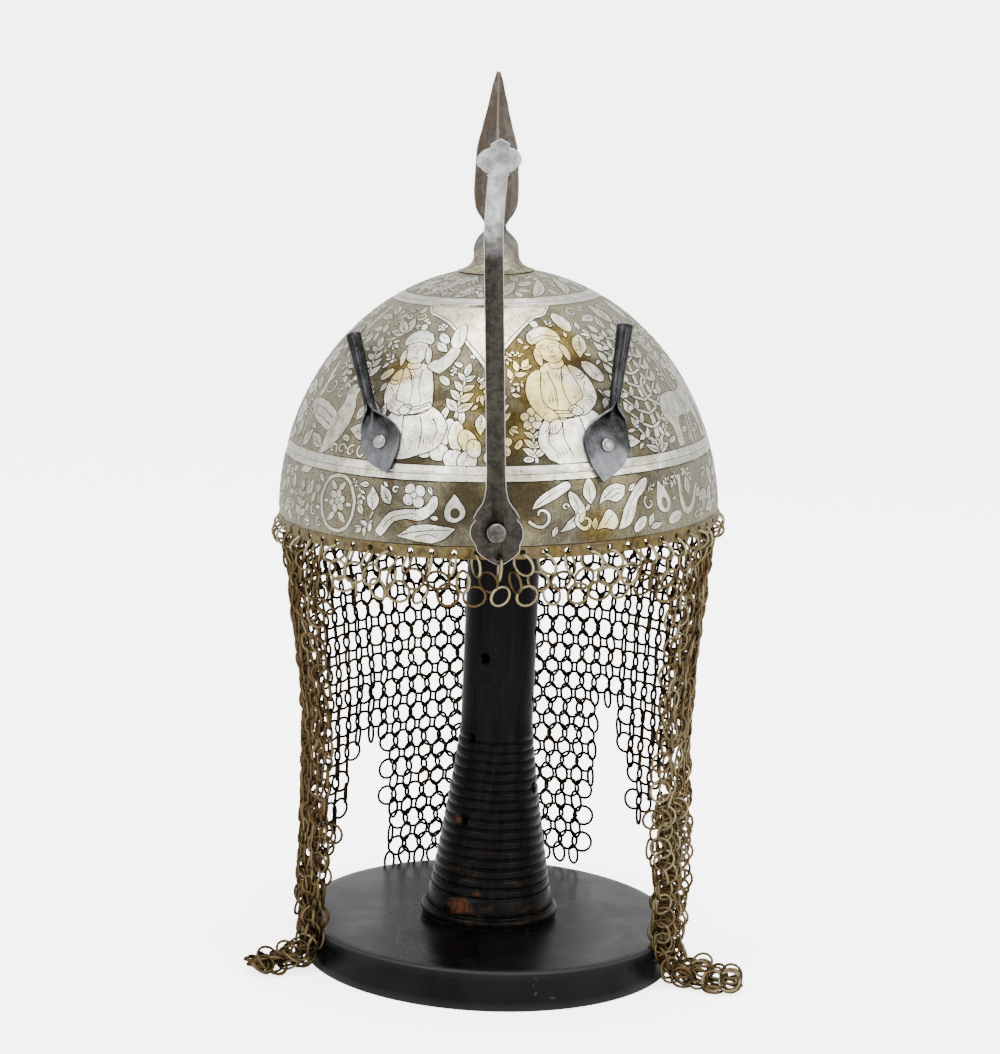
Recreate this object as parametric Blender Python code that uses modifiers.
import bpy
import bmesh
from math import atan2, cos, pi, radians, sin, sqrt
from mathutils import Matrix, Vector

# Kulah khud: a steel helmet with a mail curtain, on its turned display stand.
# Metres, +Z up. The origin is the centre of the stand base's underside, and the nasal bar faces -Y.

NAME = "kulah_khud"
MM = 0.001
GAP = 0.0003

# Stand
BASE_RADIUS = 0.0884
BASE_HEIGHT = 0.0189
BASE_EDGE = 0.0015
POST_RADIUS = 0.0170
POST_HEAD_GAP = 0.0007
POST_HEAD_TURN = 5
GROOVE_COUNT = 17
GROOVE_DEPTH = 0.0009
GROOVE_TOP = 0.1105
GROOVE_BOTTOM = 0.0330
PEG_HOLE_RADIUS = 0.0025
PEG_HOLE_DEPTH = 0.0080

# Bowl: half an ellipsoid, leaning a little to its right on the post
RIM_CENTRE = (-0.0034, 0.0, 0.2143)
LEAN = -0.0512
BOWL_RADIUS = 0.1027
BOWL_RISE = 0.1145
BOWL_WALL = 0.0015
RIM_DROP = 0.0028
RIM_HOLES = 64
BOWL_BANDS = 9
RIM_HOLE_RADIUS = 0.00135
RIM_PHASE = radians(0.7)

# Nasal bar
NASAL_THICKNESS = 0.0030
NASAL_CHAMFER = 0.0005
NASAL_RIVET_HEIGHT = 0.0096
NASAL_HOLE_HEIGHT = -0.0010
NASAL_HOLE_RADIUS = 0.0016
NASAL_BEND = (
    # height on the bar, sideways
    (-0.0050, 0.0013),
    (0.0030, 0.0006),
    (0.0096, 0.0),
    (0.1400, 0.0),
    (0.1520, 0.0008),
    (0.1640, 0.0021),
    (0.1800, 0.0035),
)

# Plume holders
LEAF_THICKNESS = 0.0015
TUBE_WALL = 0.0008
TUBE_FOOT_RADIUS = 0.0025
TUBE_AXIS_HEIGHT = 0.0030
TUBE_SOLID_FOOT = 0.0050
TUBE_START = 0.0105

# Rivets; the tails stay clear of the bowl's flat facets
SHANK_RADIUS = 0.0018
TAIL_GAP = 0.0007
TAIL_THICKNESS = 0.0010
DRILL_LENGTH = 0.0080

# Mail curtain: its columns are counted from the back centre, left is negative
MAIL_THICKNESS = 0.0030
MAIL_HEAP_THICKNESS = 0.0075
MAIL_HEAP_HEIGHT = 0.0220
MAIL_HEAP_COLUMN = 19.0
MAIL_TOP = RIM_DROP + GAP
MAIL_BEND = 0.0100
MAIL_COLUMNS = RIM_HOLES
MAIL_FRONT = MAIL_COLUMNS / 2
PANEL_EDGE = 24.45
FRINGE = 0.0270

# The panel's weave draws in below the rim holes, most of all at its front edge
DRAW_IN = 0.10
DRAW_IN_LENGTH = 0.0450
DRAW_IN_COLUMN = 26.0
HANG_TRUE_LENGTH = 0.0950
TAIL_AZIMUTH = radians(112)
TAIL_LENGTH = 0.0400

collection = bpy.data.collections.new(NAME)
cutter_collection = bpy.data.collections.new(NAME + "_cutters")


def clear_scene():
    for old in list(bpy.data.objects):
        bpy.data.objects.remove(old, do_unlink=True)
    bpy.context.scene.collection.children.link(collection)
    bpy.context.scene.collection.children.link(cutter_collection)


def make_material(name, colour, roughness, metallic):
    material = bpy.data.materials.new(name)
    material.use_nodes = True
    shader = material.node_tree.nodes["Principled BSDF"]
    shader.inputs["Base Color"].default_value = (*colour, 1.0)
    shader.inputs["Roughness"].default_value = roughness
    shader.inputs["Metallic"].default_value = metallic
    return material


def make_object(name, mesh, material, parent=None, group=collection):
    mesh.materials.clear()
    mesh.materials.append(material)
    piece = bpy.data.objects.new(name, mesh)
    group.objects.link(piece)
    piece.parent = parent
    return piece


def bmesh_object(name, bm, material, parent=None, group=collection):
    bmesh.ops.recalc_face_normals(bm, faces=bm.faces)
    mesh = bpy.data.meshes.new(name)
    bm.to_mesh(mesh)
    bm.free()
    return make_object(name, mesh, material, parent, group)


def shade_round(piece, angle=radians(35)):
    piece.data.shade_smooth()
    piece.data.set_sharp_from_angle(angle=angle)


def evaluated_mesh(piece):
    bpy.context.view_layer.update()
    graph = bpy.context.evaluated_depsgraph_get()
    return bpy.data.meshes.new_from_object(piece.evaluated_get(graph))


def turned(name, profile, steps, material, parent=None):
    # The profile is (radius, height) from the top down its outer side
    bm = bmesh.new()
    points = [bm.verts.new((radius, 0.0, height)) for radius, height in profile]
    for upper, lower in zip(points, points[1:]):
        bm.edges.new((upper, lower))
    mesh = bpy.data.meshes.new(name)
    bm.to_mesh(mesh)
    bm.free()
    piece = make_object(name, mesh, material, parent)
    screw = piece.modifiers.new("turn", "SCREW")
    screw.axis = "Z"
    screw.steps = steps
    screw.render_steps = steps
    screw.use_merge_vertices = True
    screw.merge_threshold = 0.00001
    screw.use_smooth_shade = True
    return piece


def as_cutter(piece):
    piece.hide_render = True
    piece.display_type = "WIRE"
    for group in list(piece.users_collection):
        group.objects.unlink(piece)
    cutter_collection.objects.link(piece)
    return piece


def cut(piece, cutter, operation="DIFFERENCE"):
    modifier = piece.modifiers.new(cutter.name, "BOOLEAN")
    modifier.operation = operation
    modifier.solver = "EXACT"
    modifier.object = cutter


def drill(name, radius, depth, places, sides, parent=None):
    # One mesh of cylinders; each place is a matrix whose Z axis is the hole's axis
    bm = bmesh.new()
    for place in places:
        bmesh.ops.create_cone(
            bm, cap_ends=True, segments=sides, radius1=radius, radius2=radius, depth=depth, matrix=place
        )
    return as_cutter(bmesh_object(name, bm, dark_iron, parent))


def table_value(table, key):
    if key <= table[0][0]:
        return table[0][1]
    for (low, low_value), (high, high_value) in zip(table, table[1:]):
        if key <= high:
            return low_value + (high_value - low_value) * (key - low) / (high - low)
    return table[-1][1]


def bowl_radius_at(height):
    return BOWL_RADIUS * sqrt(1.0 - (height / BOWL_RISE) ** 2)


def bowl_height_at(radius):
    return BOWL_RISE * sqrt(1.0 - (radius / BOWL_RADIUS) ** 2)


def bowl_frame(azimuth, height):
    # Place on the bowl's outer face: X sideways, Y up the wall, Z straight out of it
    radius = bowl_radius_at(height)
    outward = Vector((sin(azimuth), -cos(azimuth), 0.0))
    slope = atan2(BOWL_RADIUS ** 2 * height, BOWL_RISE ** 2 * radius)
    normal = outward * cos(slope) + Vector((0.0, 0.0, sin(slope)))
    side = Vector((cos(azimuth), sin(azimuth), 0.0))
    up = normal.cross(side)
    place = Matrix((side, up, normal)).transposed().to_4x4()
    place.translation = outward * radius + Vector((0.0, 0.0, height))
    return place


# Stand

def make_base():
    bm = bmesh.new()
    lift = Matrix.Translation((0.0, 0.0, BASE_HEIGHT / 2))
    bmesh.ops.create_cone(
        bm, cap_ends=True, segments=48, radius1=BASE_RADIUS, radius2=BASE_RADIUS,
        depth=BASE_HEIGHT, matrix=lift
    )
    base = bmesh_object("stand_base", bm, black_paint)
    edge = base.modifiers.new("edge", "BEVEL")
    edge.width = BASE_EDGE
    edge.segments = 2
    edge.limit_method = "ANGLE"
    shade_round(base)


def column_radius(height):
    # Taper of the grooved foot, from just over the collar up to the plain post
    table = (
        # height, radius
        (0.0250, 0.0305),
        (0.0350, 0.0284),
        (0.0550, 0.0250),
        (0.0750, 0.0219),
        (0.0950, 0.0191),
        (0.1128, POST_RADIUS),
    )
    return table_value(table, height)


def post_head_centre():
    # The round head touches the bowl near its crown, where the bowl is close to a sphere
    inner_radius = BOWL_RADIUS - BOWL_WALL
    inner_rise = BOWL_RISE - BOWL_WALL
    crown = inner_radius ** 2 / inner_rise
    crown_up = inner_rise - crown
    centre_x = RIM_CENTRE[0] + crown_up * sin(LEAN)
    centre_z = RIM_CENTRE[2] + crown_up * cos(LEAN)
    reach = crown - POST_HEAD_GAP - POST_RADIUS
    return centre_z + sqrt(reach ** 2 - centre_x ** 2)


def column_profile():
    head = post_head_centre()
    profile = []
    for turn in range(POST_HEAD_TURN + 1):
        angle = pi / 2 * turn / POST_HEAD_TURN
        profile.append((POST_RADIUS * sin(angle), head + POST_RADIUS * cos(angle)))
    profile.append((POST_RADIUS, 0.1200))
    pitch = (GROOVE_TOP - GROOVE_BOTTOM) / GROOVE_COUNT
    for groove in range(GROOVE_COUNT):
        top = GROOVE_TOP - groove * pitch
        profile.append((column_radius(top), top))
        profile.append((column_radius(top) - GROOVE_DEPTH, top - 0.75 * pitch))
    profile += [
        (column_radius(GROOVE_BOTTOM), GROOVE_BOTTOM),
        (column_radius(0.0250), 0.0250),
        (0.0322, 0.0242),
        (0.0326, 0.0225),
        (0.0318, 0.0206),
        (0.0318, BASE_HEIGHT + GAP),
        (0.0, BASE_HEIGHT + GAP),
    ]
    return profile


def make_column():
    column = turned("stand_column", column_profile(), 20, black_wood)
    places = []
    for side, height in (
        # azimuth from the front, height
        (-24, 0.1470),
        (-42, 0.1080),
        (-37, 0.0690),
        (78, 0.1590),
        (78, 0.1270),
        (65, 0.0840),
    ):
        angle = radians(side)
        outward = Vector((sin(angle), -cos(angle), 0.0))
        spot = outward * column_radius(height) + Vector((0.0, 0.0, height))
        places.append(Matrix.Translation(spot) @ outward.to_track_quat("Z", "Y").to_matrix().to_4x4())
    cut(column, drill("peg_holes", PEG_HOLE_RADIUS, 2 * PEG_HOLE_DEPTH, places, 10))


# Helmet

def make_bowl(helmet):
    profile = []
    for band in range(BOWL_BANDS + 1):
        angle = pi / 2 * band / BOWL_BANDS
        profile.append((BOWL_RADIUS * sin(angle), BOWL_RISE * cos(angle)))
    profile.append((BOWL_RADIUS, -RIM_DROP))
    bowl = turned("bowl", profile, RIM_HOLES, etched_steel, helmet)
    wall = bowl.modifiers.new("wall", "SOLIDIFY")
    wall.thickness = BOWL_WALL
    wall.offset = -1.0
    bowl.rotation_euler.z = RIM_PHASE

    places = []
    for number in range(RIM_HOLES):
        # A hole lies in the middle of a facet of the rim, and one of them is behind the nasal's foot
        angle = 2 * pi * number / RIM_HOLES + RIM_PHASE
        outward = Vector((sin(angle), -cos(angle), 0.0))
        turn = outward.to_track_quat("Z", "Y").to_matrix().to_4x4()
        places.append(Matrix.Translation(outward * (BOWL_RADIUS - BOWL_WALL / 2)) @ turn)
    cut(bowl, drill("rim_holes", RIM_HOLE_RADIUS, DRILL_LENGTH, places, 6, helmet))
    return bowl


def make_finial(helmet):
    under = [(radius, bowl_height_at(radius) + GAP) for radius in (0.0176, 0.0120, 0.0060, 0.0)]
    profile = [
        # radius, height
        (0.0, 0.13335),
        (0.0047, 0.13335),
        (0.0052, 0.1316),
        (0.0078, 0.1290),
        (0.0098, 0.1258),
        (0.0103, 0.1225),
        (0.0106, 0.1187),
        (0.0122, 0.1160),
        (0.0148, 0.1143),
    ] + under
    turned("finial_neck", profile, 24, brown_iron, helmet)

    corners = 16
    bm = bmesh.new()
    loops = []
    for height, radius, squareness in (
        # height, radius over the edges, 0 for round and 1 for a four-sided section
        (0.13365, 0.0047, 0.0),
        (0.1360, 0.0060, 0.2),
        (0.1390, 0.0084, 0.5),
        (0.1420, 0.0098, 0.7),
        (0.1460, 0.0105, 0.9),
        (0.1520, 0.0107, 1.0),
        (0.1600, 0.0104, 1.0),
        (0.1700, 0.0096, 1.0),
        (0.1780, 0.0074, 1.0),
        (0.1850, 0.0056, 1.0),
        (0.1920, 0.0040, 1.0),
        (0.1990, 0.0024, 1.0),
        (0.2050, 0.0006, 1.0),
    ):
        loop = []
        for corner in range(corners):
            angle = 2 * pi * corner / corners
            edge_on = cos(pi / 4) / cos(angle % (pi / 2) - pi / 4)
            reach = radius * (1.0 + (edge_on - 1.0) * squareness)
            loop.append(bm.verts.new((reach * sin(angle), -reach * cos(angle), height)))
        loops.append(loop)
    for lower, upper in zip(loops, loops[1:]):
        for corner in range(corners):
            after = (corner + 1) % corners
            bm.faces.new((lower[corner], lower[after], upper[after], upper[corner]))
    bm.faces.new(loops[0][::-1])
    bm.faces.new(loops[-1])
    spike = bmesh_object("finial_spike", bm, brown_iron, helmet)
    shade_round(spike)


def outline_mesh(name, half, thickness, chamfer=0.0):
    # A flat plate from the right half of its outline, bottom to top, standing in X and Y
    points = list(half) + [(-x, y) for x, y in reversed(half) if x > 0.0]
    curve = bpy.data.curves.new(name, "CURVE")
    curve.dimensions = "2D"
    curve.fill_mode = "BOTH"
    curve.extrude = thickness / 2 - chamfer
    curve.bevel_depth = chamfer
    curve.bevel_resolution = 0
    curve.offset = -chamfer
    spline = curve.splines.new("POLY")
    spline.points.add(len(points) - 1)
    for point, (x, y) in zip(spline.points, points):
        point.co = (x, y, 0.0, 1.0)
    spline.use_cyclic_u = True
    guide = bpy.data.objects.new(name + "_outline", curve)
    bpy.context.scene.collection.objects.link(guide)
    mesh = evaluated_mesh(guide)
    bpy.data.objects.remove(guide, do_unlink=True)
    bm = bmesh.new()
    bm.from_mesh(mesh)
    bmesh.ops.remove_doubles(bm, verts=bm.verts, dist=0.00001)
    bmesh.ops.recalc_face_normals(bm, faces=bm.faces)
    bm.to_mesh(mesh)
    bm.free()
    return mesh


def arc(centre, radii, start, end, count):
    # Points on part of an ellipse, angles in degrees from +X
    points = []
    for step in range(count + 1):
        angle = radians(start + (end - start) * step / count)
        points.append((centre[0] + radii[0] * cos(angle), centre[1] + radii[1] * sin(angle)))
    return points


def nasal_outline():
    half = [
        # Pointed foot
        (0.0, -5.0),
        (5.0, -2.4),
        (9.2, 1.2),
    ]
    half += arc((0.0, 9.6), (11.6, 9.6), -32, 26, 5)
    half += [
        # Notch, shoulder and sweep into the bar
        (9.4, 14.9),
        (10.1, 16.4),
        (8.3, 19.6),
        (6.0, 22.8),
        (4.9, 26.5),
        (4.4, 31.0),
        (4.2, 140.0),
        (4.2, 152.0),
        (4.2, 163.6),
        (4.7, 164.2),
    ]
    half += arc((0.0, 170.2), (9.3, 6.2), -58, 52, 7)
    half += [
        # Small onion point on the top plate
        (4.2, 175.6),
        (4.1, 177.2),
        (2.0, 178.4),
        (0.0, 179.6),
    ]
    return [(x * MM, y * MM) for x, y in half]


def make_nasal(helmet):
    mesh = outline_mesh("nasal_bar", nasal_outline(), NASAL_THICKNESS, NASAL_CHAMFER)
    for vertex in mesh.vertices:
        vertex.co.x += table_value(NASAL_BEND, vertex.co.y)
    nasal = make_object("nasal_bar", mesh, dark_iron, helmet)
    nasal.rotation_euler = (pi / 2, 0.0, 0.0)
    nasal.location = (0.0, -(BOWL_RADIUS + GAP + NASAL_THICKNESS / 2), 0.0)
    places = []
    for height in (NASAL_RIVET_HEIGHT, NASAL_HOLE_HEIGHT):
        spot = Matrix.Translation((table_value(NASAL_BEND, height), nasal.location.y, height))
        places.append(spot @ Matrix.Rotation(pi / 2, 4, "X"))
    cut(nasal, drill("nasal_rivet_hole", SHANK_RADIUS + GAP, DRILL_LENGTH, places[:1], 12, helmet))
    cut(nasal, drill("nasal_ring_hole", NASAL_HOLE_RADIUS, DRILL_LENGTH, places[1:], 12, helmet))


def make_plume_holder(name, azimuth, height, lean, size, tube_length, tube_radius, helmet):
    # A leaf-shaped plate that runs up into a hollow tube, both flat on the bowl's tangent
    half = [
        # x, y from the rivet
        (0.0, -15.3),
        (5.0, -10.4),
        (8.8, -4.6),
        (10.3, 0.0),
        (9.8, 3.2),
        (7.5, 8.0),
        (4.7, 12.0),
        (2.4, 14.8),
    ]
    leaf_half = [(x * MM * size, y * MM * size) for x, y in half]
    leaf = make_object(name, outline_mesh(name, leaf_half, LEAF_THICKNESS), blue_steel, helmet)
    leaf_up = GAP + LEAF_THICKNESS / 2
    for vertex in leaf.data.vertices:
        vertex.co.z += leaf_up

    foot = TUBE_START * size
    middle = Vector((0.0, foot + tube_length / 2, TUBE_AXIS_HEIGHT))
    along = Matrix.Translation(middle) @ Matrix.Rotation(-pi / 2, 4, "X")
    bm = bmesh.new()
    bmesh.ops.create_cone(
        bm, cap_ends=True, segments=14, radius1=TUBE_FOOT_RADIUS, radius2=tube_radius,
        depth=tube_length, matrix=along
    )
    tube = as_cutter(bmesh_object(name + "_tube", bm, blue_steel, helmet))
    bore_shift = Matrix.Translation((0.0, TUBE_SOLID_FOOT, 0.0))
    bm = bmesh.new()
    bmesh.ops.create_cone(
        bm, cap_ends=True, segments=14, radius1=TUBE_FOOT_RADIUS - TUBE_WALL,
        radius2=tube_radius - TUBE_WALL, depth=tube_length, matrix=bore_shift @ along
    )
    bore = as_cutter(bmesh_object(name + "_bore", bm, blue_steel, helmet))

    place = bowl_frame(azimuth, height) @ Matrix.Rotation(lean, 4, "Z")
    for piece in (leaf, tube, bore):
        piece.matrix_local = place
    cut(leaf, tube, "UNION")
    cut(leaf, bore)
    return place


def make_rivet(name, head_radius, head_height, grip, place, helmet):
    # Domed head, shank through the plate and the bowl, and a flat tail inside
    tail_radius = head_radius * 0.72
    tail = grip + TAIL_THICKNESS
    profile = [
        # radius, height above the head's seat
        (0.0, head_height),
        (head_radius * 0.50, head_height * 0.86),
        (head_radius * 0.85, head_height * 0.52),
        (head_radius, head_height * 0.12),
        (head_radius, 0.0),
        (SHANK_RADIUS, 0.0),
        (SHANK_RADIUS, -grip),
        (tail_radius, -grip),
        (tail_radius, -tail),
        (0.0, -tail),
    ]
    rivet = turned(name, profile, 12, bright_steel, helmet)
    rivet.matrix_local = place


def make_fittings(helmet, bowl):
    make_nasal(helmet)
    rivet_holes = []
    front = bowl_frame(0.0, 0.0)
    front.translation.z = NASAL_RIVET_HEIGHT
    stack = GAP + NASAL_THICKNESS + GAP
    nasal_seat = front @ Matrix.Translation((0.0, 0.0, stack))
    set_back = BOWL_RADIUS - bowl_radius_at(NASAL_RIVET_HEIGHT)
    make_rivet("nasal_rivet", 0.0044, 0.0020, stack + set_back + BOWL_WALL + TAIL_GAP, nasal_seat, helmet)
    rivet_holes.append(front)

    for side, azimuth, height, lean, size, tube_length, tube_radius in (
        # side, azimuth and height of the rivet, lean, leaf size, tube length and top radius
        ("left", -32.5, 0.0457, 27.0, 1.00, 0.0415, 0.0038),
        ("right", 30.6, 0.0437, -20.0, 1.12, 0.0435, 0.0041),
    ):
        place = make_plume_holder(
            "plume_holder_" + side, radians(azimuth), height, radians(lean),
            size, tube_length, tube_radius, helmet
        )
        stack = GAP + LEAF_THICKNESS + GAP
        seat = place @ Matrix.Translation((0.0, 0.0, stack))
        make_rivet("plume_rivet_" + side, 0.0033, 0.0016, stack + BOWL_WALL + TAIL_GAP, seat, helmet)
        rivet_holes.append(place)
        leaf = bpy.data.objects["plume_holder_" + side]
        cut(leaf, drill("leaf_hole_" + side, SHANK_RADIUS + GAP, DRILL_LENGTH, [place], 12, helmet))
    cut(bowl, drill("rivet_holes", SHANK_RADIUS + GAP, DRILL_LENGTH, rivet_holes, 12, helmet))


# Mail curtain

HEM = (
    # column, length of mail below the rim holes
    (-24.5, 0.232),
    (-20.5, 0.232),
    (-19.8, 0.209),
    (-15.0, 0.139),
    (-13.8, 0.139),
    (-12.1, 0.177),
    (-11.3, 0.177),
    (-9.6, 0.129),
    (-7.5, 0.129),
    (-7.3, 0.158),
    (-6.7, 0.200),
    (6.0, 0.200),
    (6.5, 0.150),
    (6.7, 0.118),
    (8.0, 0.118),
    (10.2, 0.171),
    (10.9, 0.171),
    (14.6, 0.112),
    (15.2, 0.112),
    (19.6, 0.209),
    (20.3, 0.252),
    (24.5, 0.252),
)

DRAPE = (
    # length below the rim holes, radius of the hanging curtain
    (0.003, 0.1010),
    (0.012, 0.0995),
    (0.025, 0.0975),
    (0.042, 0.0958),
    (0.070, 0.0922),
    (0.095, 0.0905),
    (0.145, 0.0905),
    (0.200, 0.0920),
)

TAIL = {
    # side: direction on the floor, and how much the columns draw together along it
    -1: (Vector((-0.86, -0.51, 0.0)), 0.45),
    1: (Vector((0.80, -0.60, 0.0)), 0.60),
}


def curtain_point(column, length):
    # Column is counted from the back centre and length runs down the mail
    side = 1 if column > 0 else -1
    pitch = 2 * pi / MAIL_COLUMNS
    held = min(abs(column) / DRAW_IN_COLUMN, (MAIL_FRONT - abs(column)) / (MAIL_FRONT - DRAW_IN_COLUMN))
    pull = min(length / DRAW_IN_LENGTH, 1.0) * DRAW_IN * DRAW_IN_COLUMN * held
    angle = (column - side * pull) * pitch
    radius = table_value(DRAPE, length)
    centre_x = RIM_CENTRE[0] * max(0.0, 1.0 - length / HANG_TRUE_LENGTH)
    x = centre_x + radius * sin(angle)
    y = radius * cos(angle)
    rim_x = BOWL_RADIUS * sin(column * pitch)
    rest = MAIL_HEAP_THICKNESS / 2 + GAP
    top = RIM_CENTRE[2] - rim_x * sin(LEAN)
    drop = top - rest - MAIL_BEND
    if length <= drop:
        return Vector((x, y, top - length))
    direction, draw = TAIL[side]
    turn = min((length - drop) / MAIL_BEND, pi / 2)
    run = MAIL_BEND * (1.0 - cos(turn))
    z = rest + MAIL_BEND * (1.0 - sin(turn))
    run += max(0.0, length - drop - MAIL_BEND * pi / 2)
    middle = Vector((side * radius * sin(TAIL_AZIMUTH), radius * cos(TAIL_AZIMUTH), 0.0))
    foot = Vector((x, y, 0.0))
    foot = foot + (middle - foot) * draw * min(run / TAIL_LENGTH, 1.0)
    return foot + direction * run + Vector((0.0, 0.0, z))


def curtain_columns():
    # Finer where the hem steps, coarser over the short fringe at the front
    fringe = [30.0, 28.0, 26.2]
    corner = [23.2, 21.9, 20.5, 19.6, 18.1, 16.7, 15.3, 13.9]
    back = [12.2, 11.2, 9.6, 8.4, 7.5, 7.2, 6.6, 5.9, 4.0, 2.0]
    half = fringe + [PANEL_EDGE] + corner + back
    return [-MAIL_FRONT] + [-column for column in half] + [0.0] + half[::-1]


def curtain_strand(column):
    # Lengths down one column: rows that all columns share, then rows that follow the hem
    lengths = [MAIL_TOP, 0.010, 0.018, FRINGE]
    if abs(column) > PANEL_EDGE:
        return lengths
    hem = table_value(HEM, column)
    for share in (0.10, 0.21, 0.33, 0.45, 0.57, 0.68, 0.755, 0.80, 0.84, 0.88, 0.94, 1.0):
        lengths.append(FRINGE + (hem - FRINGE) * share)
    return lengths


def make_camail():
    bm = bmesh.new()
    heap = bm.verts.layers.deform.verify()
    thin = MAIL_THICKNESS / MAIL_HEAP_THICKNESS
    grid = []
    for column in curtain_columns():
        strand = []
        for length in curtain_strand(column):
            point = curtain_point(column, length)
            vertex = bm.verts.new(point)
            sunk = (MAIL_HEAP_HEIGHT - point.z) / (MAIL_HEAP_HEIGHT - MAIL_HEAP_THICKNESS)
            spread = max(0.0, min(sunk, 1.0)) if abs(column) > MAIL_HEAP_COLUMN else 0.0
            vertex[heap][0] = thin + (1.0 - thin) * spread
            strand.append(vertex)
        grid.append(strand)
    for number, strand in enumerate(grid):
        after = grid[(number + 1) % len(grid)]
        for row in range(min(len(strand), len(after)) - 1):
            bm.faces.new((strand[row], strand[row + 1], after[row + 1], after[row]))
    camail = bmesh_object("camail", bm, mail_steel)
    group = camail.vertex_groups.new(name="thickness")
    wall = camail.modifiers.new("wall", "SOLIDIFY")
    wall.thickness = MAIL_HEAP_THICKNESS
    wall.offset = 0.0
    wall.vertex_group = group.name
    camail.data.shade_smooth()


clear_scene()
black_paint = make_material("black_paint", (0.014, 0.014, 0.016), 0.38, 0.0)
black_wood = make_material("black_wood", (0.020, 0.018, 0.018), 0.32, 0.0)
etched_steel = make_material("etched_steel", (0.42, 0.38, 0.30), 0.42, 1.0)
brown_iron = make_material("brown_iron", (0.20, 0.14, 0.10), 0.50, 1.0)
dark_iron = make_material("dark_iron", (0.16, 0.15, 0.14), 0.45, 1.0)
blue_steel = make_material("blue_steel", (0.19, 0.20, 0.23), 0.40, 1.0)
bright_steel = make_material("bright_steel", (0.60, 0.60, 0.58), 0.35, 1.0)
mail_steel = make_material("mail_steel", (0.17, 0.11, 0.06), 0.55, 0.8)

helmet_frame = bpy.data.objects.new("helmet_frame", None)
helmet_frame.location = RIM_CENTRE
helmet_frame.rotation_euler = (0.0, LEAN, 0.0)
collection.objects.link(helmet_frame)
bpy.context.view_layer.update()

make_base()
make_column()
helmet_bowl = make_bowl(helmet_frame)
make_finial(helmet_frame)
make_fittings(helmet_frame, helmet_bowl)
make_camail()
